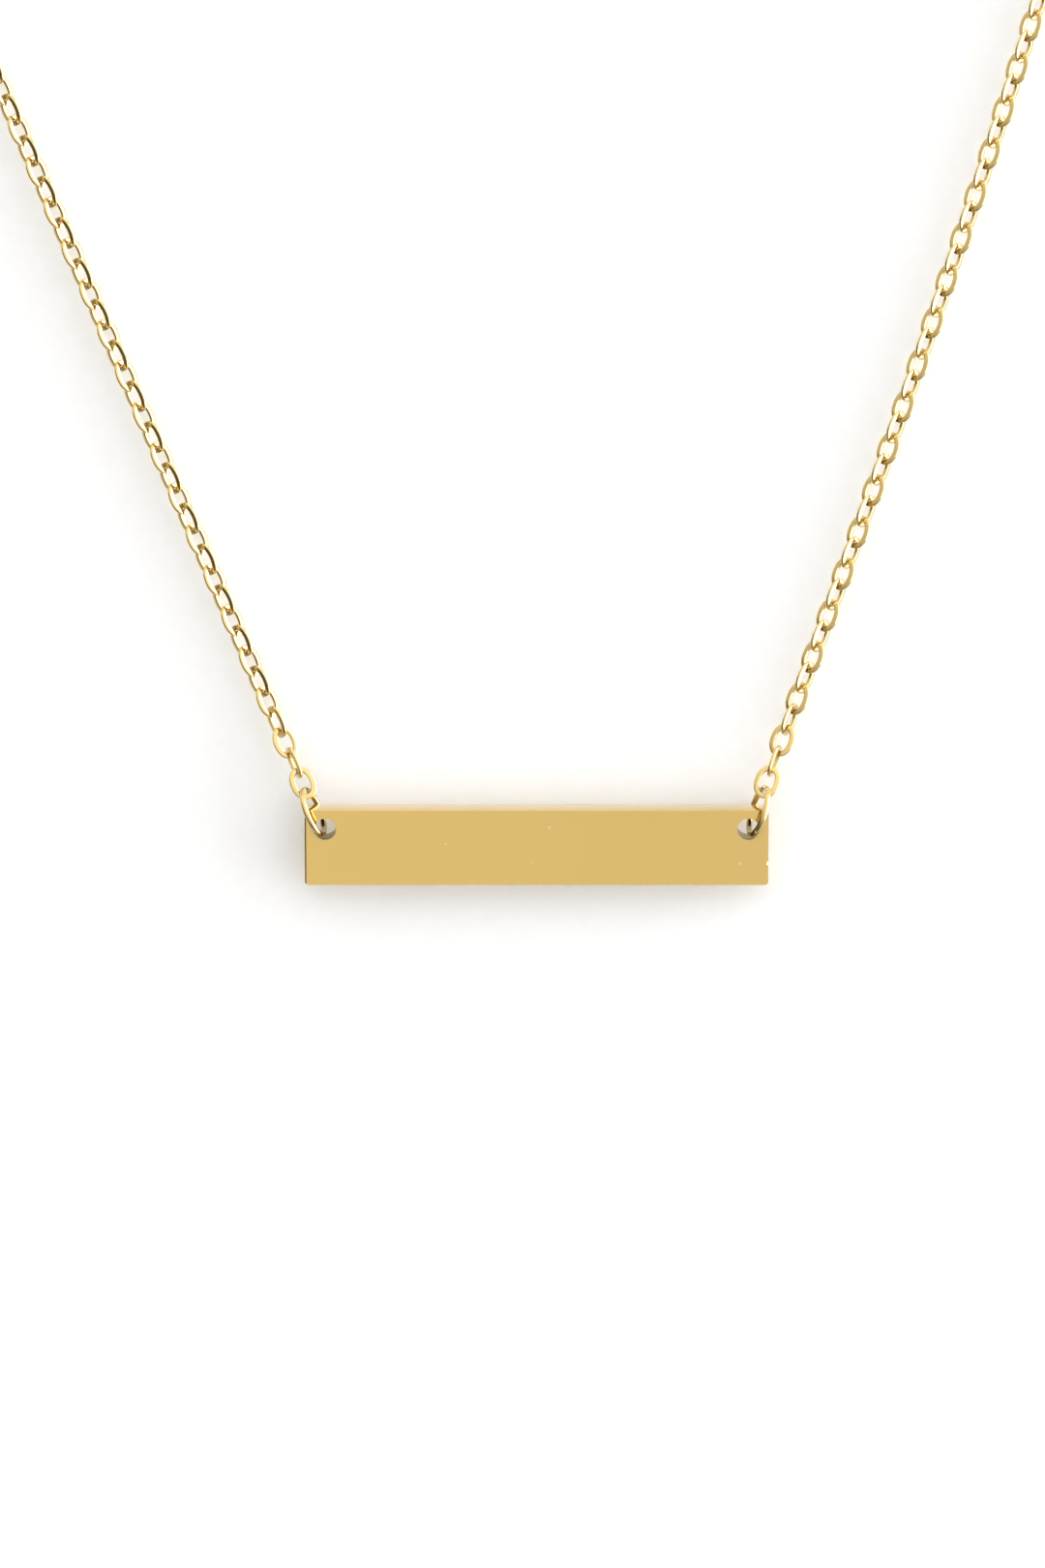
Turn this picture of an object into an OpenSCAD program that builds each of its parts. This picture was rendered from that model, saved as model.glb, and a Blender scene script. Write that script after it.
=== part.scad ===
// Bar pendant on its chain: a drilled rectangular bar, a jump ring through each of its two
// holes, a cable chain of oval links in two halves, and a hook clasp with the ring it takes.
// The necklace lies closed on a flat surface, at its real size in millimetres.
// Frame: +Z up from the surface, +X along the bar, +Y from the bar towards the clasp, with
// the origin on the surface, in the middle of the ground that the necklace covers.

/* [Bar] */
// Length of the bar
bar_l = 38.1; // [32:0.1:45]
// Height of the bar's face
bar_h = 6.35; // [5.6:0.05:7.5]
// Thickness of the bar
bar_t = 2; // [1.6:0.05:2.2]
// Radius of the bar's four corners
bar_corner_r = 0.3; // [0.1:0.05:0.8]
// Diameter of the holes for the jump rings
hole_d = 1.8; // [1.75:0.05:2]
// From the end of the bar to the middle of a hole
hole_from_end = 1.68; // [1.4:0.02:2]
// From the upper edge of the bar to the middle of a hole
hole_from_top = 1.6; // [1.4:0.05:1.8]
// How far the bar's upper edge lies above the jump rings' wire under it
edge_room = 0.49; // [0.45:0.01:0.8]

/* [Jump rings] */
// Outer diameter of a jump ring
ring_od = 4.4; // [4.2:0.05:5]
// Thickness of a jump ring's wire
ring_wire = 0.5; // [0.4:0.05:0.55]
// From a jump ring's wire to the lower rim of its hole
ring_room = 0.27; // [0.2:0.01:0.35]
// How far a jump ring passes outside the middle of its hole
ring_side = 0.25; // [0.15:0.01:0.3]
// Turn of the left jump ring towards its chain
ring_left_turn = 22.5; // [18:0.5:26]
// Turn of the right jump ring towards its chain
ring_right_turn = 18; // [13:0.5:22]
// Lean of the jump rings out of the upright
ring_lean = 13; // [8:0.5:16]
// Angle below a ring's widest point at which the chain holds it
ring_hold = 17; // [10:1:22]
// Play between a ring and what it holds
ring_play = 0.2; // [0.18:0.01:0.24]

/* [Chain] */
// Outer length of a link
link_l = 2.845; // [2.7:0.005:3.2]
// Outer width of a link
link_w = 2.03; // [1.95:0.01:2.2]
// Thickness of a link's wire
link_wire = 0.45; // [0.4:0.01:0.48]
// Play between one link and the next, and at the clasp's eye
play = 0.125; // [0.11:0.005:0.15]
// Clear height under the chain
chain_clear = 0.02; // [0.01:0.01:0.05]
// Length of the chain, both halves together
chain_l = 402; // [220:1:420]
// Direction in which the left half leaves its ring
left_heading = 113.3; // [105:0.1:120]
// Direction in which the right half leaves its ring
right_heading = 71.6; // [62:0.1:76]
// How far the right half's straight stretch bows outwards
right_bow = 0.95; // [0:0.05:2]
// Roll of the links beside a ring or the clasp
end_roll = 8; // [4:1:15]
// Roll of the other links in the left half
left_roll = 45; // [35:1:45]
// Roll of the other links in the right half
right_roll = 38; // [35:1:45]
// Length over which the roll changes
roll_run = 9; // [6:0.5:14]
// Length over which the chain comes down from a ring to the surface
lift_run = 8.5; // [6:0.5:12]

/* [Clasp] */
// Outer length of the clasp's hook
hook_l = 7.4; // [6.5:0.1:9]
// Outer width of the clasp's hook
hook_w = 4.6; // [4.4:0.1:5.4]
// Thickness of the clasp's hook
hook_wire = 1.3; // [1:0.05:1.4]
// Outer diameter of the clasp's eye
eye_od = 2.7; // [2.6:0.05:3.2]
// Thickness of the clasp's eye
eye_wire = 0.7; // [0.65:0.01:0.75]
// Free length of the neck between the hook and the eye
neck_l = 0.5; // [0.3:0.1:1]
// Thickness of the neck
neck_d = 0.6; // [0.5:0.01:0.62]
// How far the clasp's thumb knob stands out
knob_l = 0.6; // [0.4:0.1:1]
// Thickness of the clasp's thumb knob
knob_d = 0.8; // [0.6:0.05:0.9]
// Angle below its ring's widest point at which the hook holds it
hook_hold = 45; // [30:1:50]

/* [Hidden] */
gold = "goldenrod";
$fn = 32;

left = -1;
right = 1;
cut_over = 1;

// Centrelines of the bent wires
ring_r = (ring_od - ring_wire) / 2;
link_a = (link_l - link_wire) / 2;
link_b = (link_w - link_wire) / 2;
hook_a = (hook_l - hook_wire) / 2;
hook_b = (hook_w - hook_wire) / 2;
eye_r = (eye_od - eye_wire) / 2;
link_pitch = 2 * link_a - link_wire - play;

// The bar rests on its lower edge and, under its upper one, on the jump rings
bar_tilt = asin((ring_wire + edge_room) / bar_h);
hole_x = bar_l / 2 - hole_from_end;
hole_y = bar_h - hole_from_top;
hole_rim_y = hole_y * cos(bar_tilt) - bar_t * sin(bar_tilt) - hole_d / 2;

// A ring stands on the surface in a leaning plane, whose axis points level to turn
ring_z = ring_r * cos(ring_lean) + ring_wire / 2;
function ring_level(turn) = [-sin(turn), cos(turn), 0];
function ring_rise(turn, lean) = [-sin(lean) * cos(turn), -sin(lean) * sin(turn), cos(lean)];
function on_ring(turn, lean, r, below) =
    r * (cos(below) * ring_level(turn) - sin(below) * ring_rise(turn, lean));

// From a ring's middle to the wire of the link and of the hook that it holds
link_seat = ring_r - (ring_wire + link_wire) / 2 - ring_play;
hook_seat = ring_r - (ring_wire + hook_wire) / 2 - ring_play;

// The two jump rings, each through its hole and held by its chain
function turn_of(side) = side == left ? ring_left_turn : -ring_right_turn;
function ring_middle(side) = [
    side * (hole_x + ring_side) - ring_r * sin(turn_of(side)),
    hole_rim_y + ring_room + ring_wire / 2 + ring_r * cos(turn_of(side)),
    ring_z
];
function chain_start(side) =
    ring_middle(side) + on_ring(turn_of(side), -side * ring_lean, link_seat, ring_hold);

// The loop: two arms from the rings, and one arc that both run into
function plan(p) = [p[0], p[1]];
function heading(side) = side == left ? left_heading : right_heading;
function along(deg) = [cos(deg), sin(deg)];
function cross_z(a, b) = a[0] * b[1] - a[1] * b[0];
wedge = left_heading - right_heading;
start_gap = plan(chain_start(right) - chain_start(left));
function arm_back(side) = cross_z(start_gap, along(heading(-side))) / sin(wedge);

// Distances along each half, from the end of its first link. Each half has whole pairs of links,
// and the right half has one link more, so that both its end links lie flat.
link_pairs = round(chain_l / (4 * link_pitch));
function links(side) = side == left ? 2 * link_pairs : 2 * link_pairs + 1;
function link_at(i) = link_a + i * link_pitch;
function chain_end(side) = link_at(links(side) - 1) + link_a;

// The clasp runs straight from the left half's last link to its ring in the right half's
eye_seat = (eye_wire + link_wire) / 2 + play;
eye_z = link_b * cos(end_roll) + link_wire / 2 + chain_clear;
hook_reach = 2 * eye_r + eye_wire / 2 + neck_l + hook_wire / 2 + 2 * hook_a;
hook_rise = ring_z - hook_seat * sin(hook_hold) * cos(ring_lean);
clasp_tilt = asin((hook_rise - eye_z) / hook_reach);
clasp_reach = hook_reach * cos(clasp_tilt) - eye_seat;
clasp_span = clasp_reach + hook_seat * cos(hook_hold) + link_seat * cos(ring_hold);

// Radius of the arc, first with the clasp's span as it is and then with the arc over it
function rad(deg) = deg * PI / 180;
arc_share = 2 / tan(wedge / 2) + rad(180 + wedge);
chain_total = chain_end(left) + chain_end(right) + arm_back(left) + arm_back(right);
rough_r = (chain_total + clasp_span) / arc_share;
loop_r = (chain_total + 2 * rough_r * rad(asin(clasp_span / (2 * rough_r)))) / arc_share;
function arm(side) = loop_r / tan(wedge / 2) - arm_back(side);
apex = plan(chain_start(left)) - arm_back(left) * along(left_heading);
loop_middle = apex + loop_r / sin(wedge / 2) * along((left_heading + right_heading) / 2);

// Place on the loop at a distance s along one half
function bow(side, s) = side == left ? 0 : right_bow * sin(180 * s / arm(side));
function arm_place(side, s) =
    plan(chain_start(side)) + s * along(heading(side)) + bow(side, s) * along(heading(side) - 90);
function arc_place(side, s) =
    loop_middle + loop_r * along(heading(side) - side * (90 - (s - arm(side)) / rad(loop_r)));
function loop_place(side, s) = s < arm(side) ? arm_place(side, s) : arc_place(side, s);

// Roll of the links and height of the chain, which both change near its two ends
function fade(t) = max(0, 1 - t);
function full_roll(side) = side == left ? left_roll : right_roll;
function roll_size(side, s) =
    full_roll(side)
    + (end_roll - full_roll(side)) * fade(min(s, chain_end(side) - s) / roll_run);
function roll(side, i) =
    i % 2 == 0 ? -side * roll_size(side, link_at(i)) : side * (90 - roll_size(side, link_at(i)));
function lying_z(side, s) = link_b * cos(roll_size(side, s)) + link_wire / 2 + chain_clear;
ring_lift = chain_start(left)[2] - eye_z;
function lift(side, s) =
    ring_lift
    * (fade(s / lift_run) ^ 2 + (side == left ? 0 : fade((chain_end(side) - s) / lift_run) ^ 2));
function chain_place(side, s) =
    let(p = loop_place(side, s)) [p[0], p[1], lying_z(side, s) + lift(side, s)];

// Clasp: its direction, the place of its eye's wire, and the middles of its hook and ring
clasp_start = loop_place(left, chain_end(left));
clasp_stop = loop_place(right, chain_end(right));
clasp_way = clasp_stop - clasp_start;
clasp_heading = atan2(clasp_way[1], clasp_way[0]);
clasp_turn = clasp_heading - 90;
eye_place = clasp_start - eye_seat * along(clasp_heading);
hook_middle = eye_place + (hook_reach - hook_a) * along(clasp_heading);
clasp_ring_middle = clasp_stop - plan(on_ring(clasp_turn, ring_lean, link_seat, ring_hold));

// The ground that the necklace covers
ground_front = -bar_t * sin(bar_tilt);
ground_back = hook_middle[1] + (hook_a - hook_b) * abs(sin(clasp_heading)) + hook_w / 2;
ground_middle = [loop_middle[0], (ground_front + ground_back) / 2, 0];

// A closed ring of round wire, flat about the origin
module wire_ring(r, wire) {
    rotate_extrude()
        translate([r, 0])
            circle(d = wire);
}

// A closed oval of round wire with half length a and half width b, flat about the origin
module wire_oval(a, b, wire) {
    for (turn = [0, 180])
        rotate([0, 0, turn]) {
            translate([a - b, 0, 0])
                rotate([0, 0, -90])
                    rotate_extrude(angle = 180)
                        translate([b, 0])
                            circle(d = wire);
            translate([b - a, b, 0])
                rotate([0, 90, 0])
                    cylinder(d = wire, h = 2 * (a - b));
        }
}

module bar_outline() {
    inner_l = bar_l - 2 * bar_corner_r;
    inner_h = bar_h - 2 * bar_corner_r;
    translate([-bar_l / 2, bar_corner_r])
        square([bar_l, inner_h]);
    translate([-inner_l / 2, 0])
        square([inner_l, bar_h]);
    for (x = [-inner_l / 2, inner_l / 2], y = [bar_corner_r, bar_h - bar_corner_r])
        translate([x, y])
            circle(r = bar_corner_r);
}

module bar() {
    color(gold)
        translate(-ground_middle)
            rotate([bar_tilt, 0, 0])
                difference() {
                    linear_extrude(bar_t)
                        bar_outline();
                    for (side = [left, right])
                        translate([side * hole_x, hole_y, -cut_over])
                            cylinder(d = hole_d, h = bar_t + 2 * cut_over);
                }
}

module standing_ring(middle, turn, lean) {
    color(gold)
        translate(middle - ground_middle)
            rotate([0, 90 - lean, turn])
                wire_ring(ring_r, ring_wire);
}

module jump_ring_left() {
    standing_ring(ring_middle(left), turn_of(left), ring_lean);
}

module jump_ring_right() {
    standing_ring(ring_middle(right), turn_of(right), -ring_lean);
}

module chain(side) {
    color(gold)
        for (i = [0 : links(side) - 1]) {
            from = chain_place(side, link_at(i) - link_pitch / 2);
            to = chain_place(side, link_at(i) + link_pitch / 2);
            way = to - from;
            translate((from + to) / 2 - ground_middle)
                rotate([roll(side, i), -asin(way[2] / norm(way)), atan2(way[1], way[0])])
                    wire_oval(link_a, link_b, link_wire);
        }
}

module chain_left() {
    chain(left);
}

module chain_right() {
    chain(right);
}

module clasp() {
    color(gold)
        translate([eye_place[0], eye_place[1], eye_z] - ground_middle)
            rotate([0, -clasp_tilt, clasp_heading]) {
                translate([eye_r, 0, 0])
                    wire_ring(eye_r, eye_wire);
                translate([2 * eye_r, 0, 0])
                    rotate([0, 90, 0])
                        cylinder(d = neck_d, h = hook_reach - 2 * hook_a - 2 * eye_r);
                translate([hook_reach - hook_a, 0, 0]) {
                    wire_oval(hook_a, hook_b, hook_wire);
                    translate([0, -hook_b, 0])
                        rotate([90, 0, 0])
                            cylinder(d = knob_d, h = hook_wire / 2 + knob_l);
                }
            }
}

module clasp_ring() {
    standing_ring([clasp_ring_middle[0], clasp_ring_middle[1], ring_z], clasp_turn, ring_lean);
}

bar();
jump_ring_left();
jump_ring_right();
chain_left();
chain_right();
clasp();
clasp_ring();
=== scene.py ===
"""Looks of the bar pendant necklace: polished gold on pale stone, lit by one window from the right.

Every piece is placed from the frame's own solids. Lengths are in metres.
"""

import math

import bmesh
import bpy
import numpy as np
from mathutils import Matrix, Vector


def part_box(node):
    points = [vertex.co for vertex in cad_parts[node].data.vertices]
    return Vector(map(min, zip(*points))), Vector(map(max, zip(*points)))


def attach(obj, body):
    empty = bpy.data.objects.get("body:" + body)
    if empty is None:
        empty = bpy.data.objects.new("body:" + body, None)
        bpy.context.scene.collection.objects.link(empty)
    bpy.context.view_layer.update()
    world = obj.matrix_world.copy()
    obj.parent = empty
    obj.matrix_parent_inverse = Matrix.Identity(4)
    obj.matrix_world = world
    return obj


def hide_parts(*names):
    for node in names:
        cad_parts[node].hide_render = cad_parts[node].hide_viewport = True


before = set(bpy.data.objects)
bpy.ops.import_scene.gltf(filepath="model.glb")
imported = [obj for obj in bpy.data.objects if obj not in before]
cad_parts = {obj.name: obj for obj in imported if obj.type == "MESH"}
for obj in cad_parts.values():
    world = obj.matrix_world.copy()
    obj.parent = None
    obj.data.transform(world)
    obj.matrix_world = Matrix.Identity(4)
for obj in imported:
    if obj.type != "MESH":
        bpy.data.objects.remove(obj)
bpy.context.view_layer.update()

MM = 0.001

# Bar, in its own upright frame. Its chamfer is wider at the left end, and the nick is in the right one.
BAR_L = 38.1 * MM
BAR_H = 6.35 * MM
BAR_T = 2.0 * MM
BAR_CORNER_R = 0.3 * MM
CHAMFER_W = 0.02 * MM
CHAMFER_W_LEFT = 0.11 * MM
CHAMFER_D = 0.075 * MM
NICK_Y = 1.9 * MM
NICK_H = 0.5 * MM
NICK_W = 0.125 * MM
NICK_D = 0.1 * MM
HOLE_R = 0.9 * MM
HOLE_FROM_END = 1.68 * MM
HOLE_FROM_TOP = 1.6 * MM

# Steps of the bar's curves: of a corner, of half the nick and of a hole
CORNER_STEPS = 12
NICK_STEPS = 4
HOLE_STEPS = 96

# Rings and links: centrelines and sections of their wires
RING_R = 1.95 * MM
RING_WIRE = 0.5 * MM
LINK_L = 2.79 * MM
LINK_W = 2.07 * MM
LINK_WIRE_W = 0.445 * MM
LINK_WIRE_T = 0.31 * MM
LINK_BEND = 2.2
LINK_EDGE = 4.0
LINK_TAPER = 0.2

# Steps round a wire's path and round its section
RING_PATH_STEPS = 128
RING_SECTION_STEPS = 32
LINK_PATH_STEPS = 44
LINK_SECTION_STEPS = 20

# Corners of the frame's triangles that are closer than this are one
MERGE = 0.001 * MM

# Camera: the photograph's frame and scale
PHOTO_W = 1080
PHOTO_H = 1620
PIXELS_PER_MM = 12.58
BAR_MIDDLE_PX = (554.7, 876.0)
CAMERA_LEAN = math.radians(5.3)
CAMERA_DISTANCE = 0.7
SENSOR_H = 36.0

# Brightness of the room, as a mirror shows it. Its slope is what it gains towards each axis.
WALL_RADIANCE = 0.91
OVERHEAD_RADIANCE = 1.18
ROOM_SLOPE = (0.38, 0.72, 0.0)
WALL_TOP = math.radians(44)
OVERHEAD_START = math.radians(58)

# Window: where it stands, its size and how bright a mirror shows it
WINDOW_AZIMUTH = math.radians(3)
WINDOW_ELEVATION = math.radians(11.5)
WINDOW_DISTANCE = 1.2
WINDOW_W = 1.9
WINDOW_H = 0.46
WINDOW_RADIANCE = 8.6

# Dark card: where it stands and its size
CARD_AZIMUTH = math.radians(207)
CARD_DISTANCE = 0.5
CARD_HALF_W = 0.36
CARD_TOP = 0.25
CARD_FOOT = 0.001
CARD_COLOUR = (0.05, 0.045, 0.035)

# Gold
GOLD = (0.868, 0.592, 0.17)
WIRE_GOLD = (0.74, 0.54, 0.195)
# Painted shade: the dark gold laid into crevices and recesses, and the ambient-occlusion levels at which it
# is full and at which it is gone
CREVICE_SHADE_GOLD = (0.36, 0.25, 0.11)
CREVICE_SHADE_FULL = 0.25
CREVICE_SHADE_NONE = 0.9
POLISH = 0.06
CLOUD_SCALE = 320.0
CLOUD_TONE = 0.97
DRIFT_SCALE = 70.0
DRIFT_TONE = 0.93
# Painted shade: share of the bar's colour left at its right end, for the light falling off along the bar
BAR_RIGHT_END_SHADE = 0.93
HAIR_TURN = math.radians(28)
HAIR_SCALE = (60, 6000, 60)

# Stone: its floor's half width, its two tones and how far light spreads inside it
FLOOR_HALF = 0.6
STONE_DARK = (0.879, 0.877, 0.866)
STONE_PALE = (0.927, 0.925, 0.916)
STONE_GRAIN = 900.0
STONE_GLOW = 18.0 * MM
STONE_GLOW_TINT = (1.0, 0.92, 0.8)

# Painted light: a warm glow on the stone close to the gold, standing in for the light that the gold throws on
# it
GOLD_GLOW = (1.0, 0.89, 0.62)
GOLD_GLOW_STRENGTH = 0.2
GOLD_GLOW_REACH = 1.4 * MM

# Dust specks on the gold: cells for each metre, a speck's size in its cell, share of cells with one
SPECK_SCALE = 700.0
SPECK_SIZE = 0.1
SPECK_SHARE = 0.1
SPECK_COLOUR = (0.92, 0.72, 0.32)
SPECK_ROUGHNESS = 0.4

# Rays that look for crevices, at each point
AO_SAMPLES = 4

# How far the bar leans back on its rings
LEAN = math.radians(9)


def smooth(mesh):
    """Shades every face of a mesh smooth."""
    mesh.polygons.foreach_set("use_smooth", [True] * len(mesh.polygons))
    mesh.update()


def new_piece(name, mesh, material):
    """Makes an object of a mesh and its material, that rides on the only body."""
    piece = bpy.data.objects.new(name, mesh)
    bpy.context.collection.objects.link(piece)
    mesh.materials.append(material)
    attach(piece, "root")
    return piece


# Reading the frame

def solids_of(node):
    """The separate solids of a node, each as an array of its triangles' corners."""
    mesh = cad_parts[node].data
    places = np.empty(len(mesh.vertices) * 3)
    mesh.vertices.foreach_get("co", places)
    places = places.reshape(-1, 3)
    mesh.calc_loop_triangles()
    triangles = np.empty(len(mesh.loop_triangles) * 3, dtype=np.int64)
    mesh.loop_triangles.foreach_get("vertices", triangles)
    _, merged = np.unique(np.round(places / MERGE).astype(np.int64), axis=0, return_inverse=True)
    corners = merged.reshape(-1)[triangles].reshape(-1, 3)
    label = np.arange(corners.max() + 1)
    while True:
        lowest = label[corners].min(axis=1)
        before = label.copy()
        for column in range(3):
            np.minimum.at(label, corners[:, column], lowest)
        label = label[label]
        if np.array_equal(before, label):
            break
    owner = label[corners[:, 0]]
    points = places[triangles].reshape(-1, 3, 3)
    return [points[owner == one] for one in np.unique(owner)]


def frame_of(triangles):
    """A solid's own frame: its middle, with X along its length and Z across its thinnest way."""
    middles = triangles.mean(axis=1)
    sides = np.cross(triangles[:, 1] - triangles[:, 0], triangles[:, 2] - triangles[:, 0])
    area = np.linalg.norm(sides, axis=1)
    middle = np.average(middles, axis=0, weights=area)
    spread = np.cov((middles - middle).T, aweights=area)
    _, axes = np.linalg.eigh(spread)
    long_axis = Vector(axes[:, 2])
    thin_axis = Vector(axes[:, 0])
    if thin_axis.z < 0:
        thin_axis.negate()
    wide_axis = thin_axis.cross(long_axis)
    place = Matrix((long_axis, wide_axis, thin_axis)).transposed().to_4x4()
    place.translation = Vector(middle)
    return place


# Wire shapes

def signed_power(value, power):
    """A power of a value's size, with the value's own sign."""
    return math.copysign(abs(value) ** power, value)


def superellipse(a, b, bend, count):
    """Points of a rounded outline. A bend of 2 is an ellipse, and a higher one is squarer."""
    turns = [2 * math.pi * i / count for i in range(count)]
    return [
        Vector((a * signed_power(math.cos(t), 2 / bend), b * signed_power(math.sin(t), 2 / bend), 0))
        for t in turns
    ]


def closed_wire(path, section):
    """Sweeps a section along a closed level path. The section's x points outwards and its y up."""
    count = len(path)
    verts = []
    for i, point in enumerate(path):
        along = (path[(i + 1) % count] - path[i - 1]).normalized()
        outwards = Vector((along.y, -along.x, 0))
        verts += [point + outwards * s.x + Vector((0, 0, s.y)) for s in section]
    sides = len(section)
    faces = []
    for i in range(count):
        here = i * sides
        there = (i + 1) % count * sides
        for j in range(sides):
            k = (j + 1) % sides
            faces.append((here + j, there + j, there + k, here + k))
    return verts, faces


def joined_copies(name, shape, places):
    """One mesh of a shape's copies at several places."""
    verts, faces = shape
    base = np.array([v[:] for v in verts])
    quads = np.array(faces)
    all_verts = []
    all_faces = []
    for number, place in enumerate(places):
        turned = base @ np.array(place.to_3x3()).T + np.array(place.translation)
        all_verts.append(turned)
        all_faces.append(quads + number * len(base))
    mesh = bpy.data.meshes.new(name)
    mesh.from_pydata(np.concatenate(all_verts).tolist(), [], np.concatenate(all_faces).tolist())
    smooth(mesh)
    return mesh


# Materials

def new_material(name):
    """A material with its node tree, its Principled shader and makers of nodes and of colour mixes."""
    material = bpy.data.materials.new(name)
    material.use_nodes = True
    tree = material.node_tree
    shader = tree.nodes["Principled BSDF"]

    def add(kind, inputs=None, **settings):
        made = tree.nodes.new(kind)
        for key, value in settings.items():
            setattr(made, key, value)
        for key, value in (inputs or {}).items():
            if isinstance(value, bpy.types.NodeSocket):
                tree.links.new(value, made.inputs[key])
            else:
                made.inputs[key].default_value = value
        return made

    def add_mix(factor, low, high):
        mix = add("ShaderNodeMix", {"Factor": factor}, data_type="RGBA")
        for key, colour in (("A", low), ("B", high)):
            if isinstance(colour, bpy.types.NodeSocket):
                tree.links.new(colour, mix.inputs[key])
            else:
                mix.inputs[key].default_value = (*colour, 1)
        return mix.outputs["Result"]

    return material, tree, shader, add, add_mix


def gold(name, colour, roughness, scratch_depth, shade_reach, right_end_shade=1.0, coat=1.0):
    """Polished gold with slow changes of tone, scratches, dust specks, and painted shade in its crevices: a
    darker gold where ambient occlusion finds other surfaces close by.

    Painted shade: the colour darkens along the bar's length, so that the right end's is the given share of
    the left one's.
    """
    material, tree, shader, add, add_mix = new_material(name)
    shader.inputs["Metallic"].default_value = 1.0
    shader.inputs["Coat Weight"].default_value = coat
    shader.inputs["Coat Roughness"].default_value = POLISH
    place = add("ShaderNodeTexCoord").outputs["Object"]
    cloud = add("ShaderNodeTexNoise", {"Vector": place, "Scale": CLOUD_SCALE, "Detail": 3.0})
    tone = add_mix(cloud.outputs["Fac"], [c * CLOUD_TONE for c in colour], colour)
    drift = add("ShaderNodeTexNoise", {"Vector": place, "Scale": DRIFT_SCALE, "Detail": 1.0})
    drifted = add_mix(drift.outputs["Fac"], tone, [c * DRIFT_TONE for c in colour])
    along = add("ShaderNodeSeparateXYZ", {"Vector": place})
    # Painted shade: the colour darkens from left to right along the bar
    share = add("ShaderNodeMapRange", {
        "Value": along.outputs["X"], "From Min": -BAR_L / 2, "From Max": BAR_L / 2,
        "To Min": 1.0, "To Max": right_end_shade,
    })
    shaded_along = add("ShaderNodeVectorMath", {0: drifted, "Scale": share.outputs["Result"]}, operation="SCALE")
    specks = add("ShaderNodeTexVoronoi", {"Vector": place, "Scale": SPECK_SCALE})
    chosen = add("ShaderNodeSeparateColor", {"Color": specks.outputs["Color"]})
    small = add("ShaderNodeMapRange", {
        "Value": specks.outputs["Distance"], "From Min": SPECK_SIZE, "From Max": SPECK_SIZE * 0.6,
    })
    some = add("ShaderNodeMath", {0: chosen.outputs["Red"], 1: 1 - SPECK_SHARE}, operation="GREATER_THAN")
    speck = add("ShaderNodeMath", {
        0: small.outputs["Result"], 1: some.outputs["Value"],
    }, operation="MULTIPLY")
    dusty = add_mix(speck.outputs["Value"], shaded_along.outputs["Vector"], SPECK_COLOUR)
    # Painted shade: the colour turns to the dark gold where ambient occlusion finds other surfaces within the
    # reach
    crevice = add("ShaderNodeAmbientOcclusion", {"Distance": shade_reach}, samples=AO_SAMPLES)
    unshaded = add("ShaderNodeMapRange", {
        "Value": crevice.outputs["AO"], "From Min": CREVICE_SHADE_FULL, "From Max": CREVICE_SHADE_NONE,
    })
    crevice_shaded = add_mix(unshaded.outputs["Result"], CREVICE_SHADE_GOLD, dusty)
    tree.links.new(crevice_shaded, shader.inputs["Base Color"])
    dull = add("ShaderNodeMapRange", {
        "Value": cloud.outputs["Fac"], "From Min": 0.3, "From Max": 0.7,
        "To Min": roughness * 0.85, "To Max": roughness * 1.15,
    })
    matt = add("ShaderNodeMath", {
        0: speck.outputs["Value"], 1: SPECK_ROUGHNESS, 2: dull.outputs["Result"],
    }, operation="MULTIPLY_ADD")
    tree.links.new(matt.outputs["Value"], shader.inputs["Roughness"])
    turned = add("ShaderNodeMapping", {"Vector": place, "Rotation": (0, 0, HAIR_TURN), "Scale": HAIR_SCALE})
    hairs = add("ShaderNodeTexNoise", {"Vector": turned.outputs["Vector"], "Scale": 1.0, "Detail": 2.0})
    bump = add("ShaderNodeBump", {"Height": hairs.outputs["Fac"], "Strength": 0.2, "Distance": scratch_depth})
    tree.links.new(bump.outputs["Normal"], shader.inputs["Normal"])
    return material


def stone():
    """Pale stone with a faint grain, and a painted warm glow on it close to the gold, for the light that the
    gold throws.
    """
    material, tree, shader, add, add_mix = new_material("stone")
    place = add("ShaderNodeTexCoord").outputs["Object"]
    grain = add("ShaderNodeTexNoise", {
        "Vector": place, "Scale": STONE_GRAIN, "Detail": 6.0, "Roughness": 0.6,
    })
    tone = add_mix(grain.outputs["Fac"], STONE_DARK, STONE_PALE)
    tree.links.new(tone, shader.inputs["Base Color"])
    shader.inputs["Roughness"].default_value = 0.5
    shader.inputs["Specular IOR Level"].default_value = 0.1
    shader.inputs["Coat Weight"].default_value = 1.0
    shader.inputs["Coat Roughness"].default_value = POLISH
    shader.subsurface_method = "BURLEY"
    shader.inputs["Subsurface Weight"].default_value = 0.8
    shader.inputs["Subsurface Radius"].default_value = STONE_GLOW_TINT
    shader.inputs["Subsurface Scale"].default_value = STONE_GLOW
    # Painted light: the stone glows warm where ambient occlusion finds the gold close by
    open_sky = add("ShaderNodeAmbientOcclusion", {"Distance": GOLD_GLOW_REACH}, samples=AO_SAMPLES)
    glow = add("ShaderNodeMapRange", {
        "Value": open_sky.outputs["AO"], "To Min": GOLD_GLOW_STRENGTH, "To Max": 0.0,
    })
    tree.links.new(glow.outputs["Result"], shader.inputs["Emission Strength"])
    shader.inputs["Emission Color"].default_value = (*GOLD_GLOW, 1)
    bump = add("ShaderNodeBump", {"Height": grain.outputs["Fac"], "Strength": 0.15, "Distance": 0.05 * MM})
    tree.links.new(bump.outputs["Normal"], shader.inputs["Normal"])
    return material


bar_gold = gold(
    "bar_gold", GOLD, roughness=0.09, scratch_depth=0.002 * MM, shade_reach=0.8 * MM,
    right_end_shade=BAR_RIGHT_END_SHADE,
)
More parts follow.
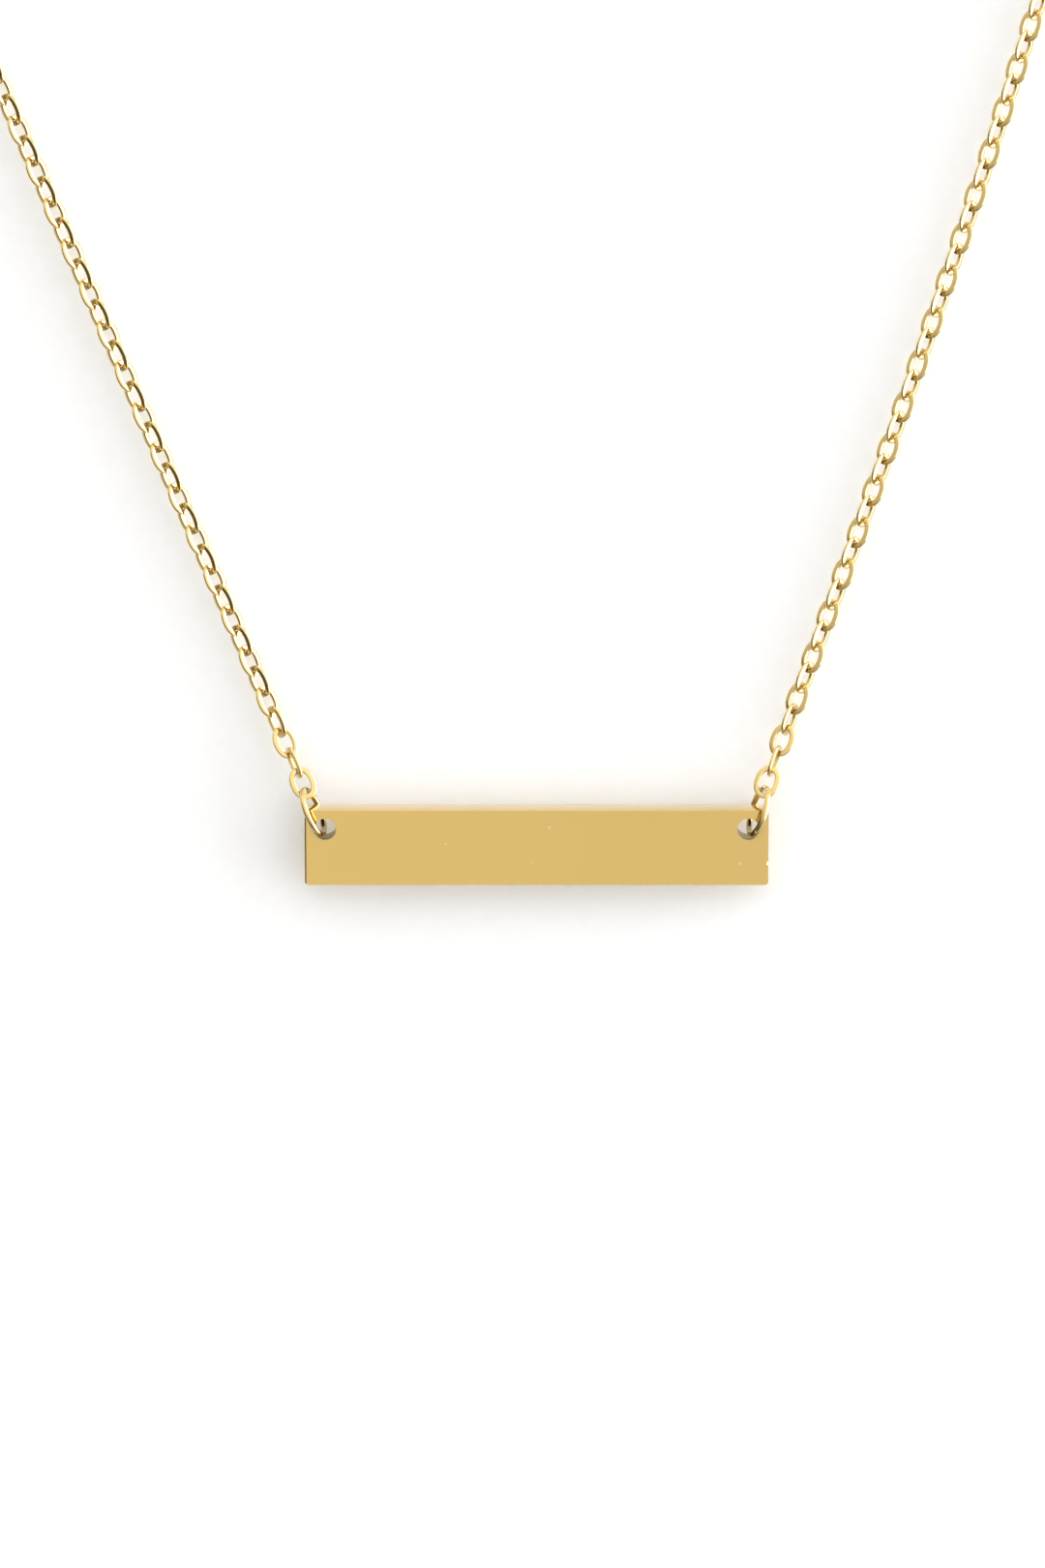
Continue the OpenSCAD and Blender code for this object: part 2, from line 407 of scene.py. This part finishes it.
# Painted shade: the holes' walls get a darker, uncoated copy of the gold, for the shade inside the holes
hole_shade_gold = gold(
    "hole_shade_gold", CREVICE_SHADE_GOLD, roughness=0.25, scratch_depth=0.002 * MM, shade_reach=0.8 * MM, coat=0.0,
)
ring_gold = gold(
    "ring_gold", WIRE_GOLD, roughness=0.08, scratch_depth=0.001 * MM, shade_reach=1.6 * MM,
)
wire_gold = gold(
    "wire_gold", WIRE_GOLD, roughness=0.08, scratch_depth=0.001 * MM, shade_reach=0.4 * MM,
)


# Pieces

def arc(middle, r_x, r_y, start, stop, count):
    """Points of an arc with a radius along each axis, its angles in degrees."""
    turns = [math.radians(start + (stop - start) * i / count) for i in range(count + 1)]
    return [(middle[0] + r_x * math.cos(t), middle[1] + r_y * math.sin(t)) for t in turns]


def nick(x, z, width, depth):
    """Points up the bar's right end that go into the nick, by a width and a depth at its middle."""
    shares = [i / NICK_STEPS for i in range(-NICK_STEPS, NICK_STEPS + 1)]
    return [
        Vector((x, NICK_Y + NICK_H / 2 * share, z)) - Vector((width, 0, depth)) * (1 - share ** 2)
        for share in shares
    ]


def bar_loop(z, inset=0, inset_left=0, nick_w=0, nick_d=0):
    """The bar's outline at a height, or one that lies inside it, with the nick in its right end."""
    r = BAR_CORNER_R
    x = BAR_L / 2 - r

    def corner(cx, cy, start, r_x):
        points = arc((cx, cy), r_x, r - inset, start, start + 90, CORNER_STEPS)
        return [(*point, z) for point in points]

    low_right = corner(x, r, -90, r - inset)
    high_right = corner(x, BAR_H - r, 0, r - inset)
    high_left = corner(-x, BAR_H - r, 90, r - inset_left)
    low_left = corner(-x, r, 180, r - inset_left)
    return low_right + nick(BAR_L / 2 - inset, z, nick_w, nick_d) + high_right + high_left + low_left


def wall(plate, levels, material_number=0):
    """Joins closed loops of points by quads of one material. Returns the loops' vertices."""
    loops = [[plate.verts.new(point) for point in points] for points in levels]
    for low, high in zip(loops, loops[1:]):
        for i in range(len(low)):
            k = (i + 1) % len(low)
            face = plate.faces.new((low[i], low[k], high[k], high[i]))
            face.material_index = material_number
    return loops


def bar_place():
    """Where the bar lies: its back's lower edge on the floor, its upper edge on the rings."""
    low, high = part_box("bar")
    back_edge = Vector(((low[0] + high[0]) / 2, low[1] + BAR_T * math.sin(LEAN), low[2]))
    return Matrix.Translation(back_edge) @ Matrix.Rotation(LEAN, 4, "X")


def make_bar():
    """The bar: a plate with two drilled holes and a small chamfer round its outer edges."""
    plate = bmesh.new()
    outer = wall(plate, [
        bar_loop(0, CHAMFER_W, CHAMFER_W_LEFT),
        bar_loop(CHAMFER_D),
        bar_loop(BAR_T - CHAMFER_D, nick_d=NICK_D),
        bar_loop(BAR_T, CHAMFER_W, CHAMFER_W_LEFT, nick_w=NICK_W),
    ])
    holes = []
    for side in (-1, 1):
        middle = (side * (BAR_L / 2 - HOLE_FROM_END), BAR_H - HOLE_FROM_TOP)
        rim = arc(middle, HOLE_R, HOLE_R, 0, 360, HOLE_STEPS)[:-1]
        holes.append(wall(plate, [[(*point, z) for point in rim] for z in (0, BAR_T)], 1))
    for level in (0, -1):
        rims = []
        for loop in [outer[level]] + [hole[level] for hole in holes]:
            rims += [plate.edges.get((loop[i - 1], loop[i])) for i in range(len(loop))]
        bmesh.ops.triangle_fill(plate, edges=rims, use_beauty=True)
    bmesh.ops.recalc_face_normals(plate, faces=plate.faces)
    mesh = bpy.data.meshes.new("bar_plate")
    plate.to_mesh(mesh)
    plate.free()
    mesh.transform(bar_place())
    smooth(mesh)
    mesh.set_sharp_from_angle(angle=math.radians(30))
    piece = new_piece("gold_bar", mesh, bar_gold)
    # Painted shade: the holes' walls take the darker gold
    mesh.materials.append(hole_shade_gold)
    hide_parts("bar")
    return piece


def make_ring(node):
    """A ring of round wire in place of a node."""
    place = frame_of(solids_of(node)[0])
    path = superellipse(RING_R, RING_R, 2, RING_PATH_STEPS)
    section = superellipse(RING_WIRE / 2, RING_WIRE / 2, 2, RING_SECTION_STEPS)
    mesh = joined_copies(node + "_wire", closed_wire(path, section), [place])
    piece = new_piece("gold_" + node, mesh, ring_gold)
    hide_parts(node)
    return piece


def make_chain(node):
    """A chain of oval links in place of a node. Their wire is flattened and thinner outwards."""
    places = [frame_of(solid) for solid in solids_of(node)]
    half_l = (LINK_L - LINK_WIRE_W) / 2
    half_w = (LINK_W - LINK_WIRE_W) / 2
    path = superellipse(half_l, half_w, LINK_BEND, LINK_PATH_STEPS)
    section = superellipse(LINK_WIRE_W / 2, LINK_WIRE_T / 2, LINK_EDGE, LINK_SECTION_STEPS)
    for point in section:
        point.y *= 1 - LINK_TAPER * point.x / (LINK_WIRE_W / 2)
    mesh = joined_copies(node + "_links", closed_wire(path, section), places)
    piece = new_piece("gold_" + node, mesh, wire_gold)
    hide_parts(node)
    return piece


def dress_clasp():
    """The clasp keeps its solid, with the gold of the other wires."""
    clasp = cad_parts["clasp"]
    clasp.data.materials.clear()
    clasp.data.materials.append(wire_gold)


# Stage

def make_floor():
    """The flat stone that everything lies on."""
    mesh = bpy.data.meshes.new("floor")
    corners = [(x * FLOOR_HALF, y * FLOOR_HALF, 0) for x, y in ((-1, -1), (1, -1), (1, 1), (-1, 1))]
    mesh.from_pydata(corners, [], [(0, 1, 2, 3)])
    floor = bpy.data.objects.new("floor", mesh)
    bpy.context.collection.objects.link(floor)
    mesh.materials.append(stone())


def make_window():
    """A wide soft light that faces the origin."""
    light = bpy.data.lights.new("window", "AREA")
    light.shape = "RECTANGLE"
    light.size = WINDOW_W
    light.size_y = WINDOW_H
    light.energy = WINDOW_RADIANCE * math.pi * WINDOW_W * WINDOW_H
    lamp = bpy.data.objects.new("window", light)
    bpy.context.collection.objects.link(lamp)
    level = math.cos(WINDOW_ELEVATION)
    way = Vector((
        level * math.cos(WINDOW_AZIMUTH), level * math.sin(WINDOW_AZIMUTH), math.sin(WINDOW_ELEVATION),
    ))
    lamp.location = way * WINDOW_DISTANCE
    lamp.rotation_euler = way.to_track_quat("Z", "Y").to_euler()
    lamp.visible_camera = False


def make_room():
    """A pale room all round, with one brightness for its walls and one overhead."""
    world = bpy.data.worlds.new("room")
    world.use_nodes = True
    tree = world.node_tree
    way = tree.nodes.new("ShaderNodeTexCoord")
    split = tree.nodes.new("ShaderNodeSeparateXYZ")
    tree.links.new(way.outputs["Generated"], split.inputs["Vector"])
    level = tree.nodes.new("ShaderNodeMapRange")
    tree.links.new(split.outputs["Z"], level.inputs["Value"])
    level.inputs["From Min"].default_value = math.sin(WALL_TOP)
    level.inputs["From Max"].default_value = math.sin(OVERHEAD_START)
    slope = tree.nodes.new("ShaderNodeVectorMath")
    slope.operation = "DOT_PRODUCT"
    tree.links.new(way.outputs["Generated"], slope.inputs[0])
    slope.inputs[1].default_value = ROOM_SLOPE
    for radiance, key in ((WALL_RADIANCE, "To Min"), (OVERHEAD_RADIANCE, "To Max")):
        sum_node = tree.nodes.new("ShaderNodeMath")
        tree.links.new(slope.outputs["Value"], sum_node.inputs[0])
        sum_node.inputs[1].default_value = radiance
        tree.links.new(sum_node.outputs["Value"], level.inputs[key])
    tree.links.new(level.outputs["Result"], tree.nodes["Background"].inputs["Strength"])
    tree.nodes["Background"].inputs["Color"].default_value = (1, 1, 1, 1)
    bpy.context.scene.world = world


def make_card():
    """A dark card that stands on the left, for the dark lines in the polished wires."""
    middle = Vector((math.cos(CARD_AZIMUTH), math.sin(CARD_AZIMUTH), 0)) * CARD_DISTANCE
    side = Vector((-math.sin(CARD_AZIMUTH), math.cos(CARD_AZIMUTH), 0)) * CARD_HALF_W
    foot = Vector((0, 0, CARD_FOOT))
    head = Vector((0, 0, CARD_TOP))
    corners = [middle - side + foot, middle + side + foot, middle + side + head, middle - side + head]
    mesh = bpy.data.meshes.new("flag")
    mesh.from_pydata(corners, [], [(0, 1, 2, 3)])
    flag = bpy.data.objects.new("flag", mesh)
    bpy.context.collection.objects.link(flag)
    material, _, shader, *_ = new_material("dark_card")
    shader.inputs["Base Color"].default_value = (*CARD_COLOUR, 1)
    shader.inputs["Roughness"].default_value = 1.0
    mesh.materials.append(material)
    flag.visible_camera = False


def make_camera():
    """The photograph's frame: a long lens almost straight above, with the bar's face at its place."""
    face_middle = bar_place() @ Vector((0, BAR_H / 2, BAR_T))
    away = Vector((0, math.sin(CAMERA_LEAN), math.cos(CAMERA_LEAN)))
    up = Vector((0, math.cos(CAMERA_LEAN), -math.sin(CAMERA_LEAN)))
    step = MM / PIXELS_PER_MM
    target = (
        face_middle
        + Vector((1, 0, 0)) * (PHOTO_W / 2 - BAR_MIDDLE_PX[0]) * step
        + up * (BAR_MIDDLE_PX[1] - PHOTO_H / 2) * step
    )
    data = bpy.data.cameras.new("camera")
    camera = bpy.data.objects.new("camera", data)
    bpy.context.collection.objects.link(camera)
    camera.location = target + away * CAMERA_DISTANCE
    camera.rotation_euler = Matrix((Vector((1, 0, 0)), up, away)).transposed().to_euler()
    data.sensor_fit = "VERTICAL"
    data.sensor_height = SENSOR_H
    data.lens = SENSOR_H * CAMERA_DISTANCE / (PHOTO_H * step)
    data.clip_start = 0.01
    bpy.context.scene.camera = camera


make_camera()
make_window()
make_room()
make_card()
make_floor()
make_bar()
for ring in ("jump_ring_left", "jump_ring_right", "clasp_ring"):
    make_ring(ring)
for half in ("chain_left", "chain_right"):
    make_chain(half)
dress_clasp()

bpy.context.scene.view_settings.view_transform = "Standard"
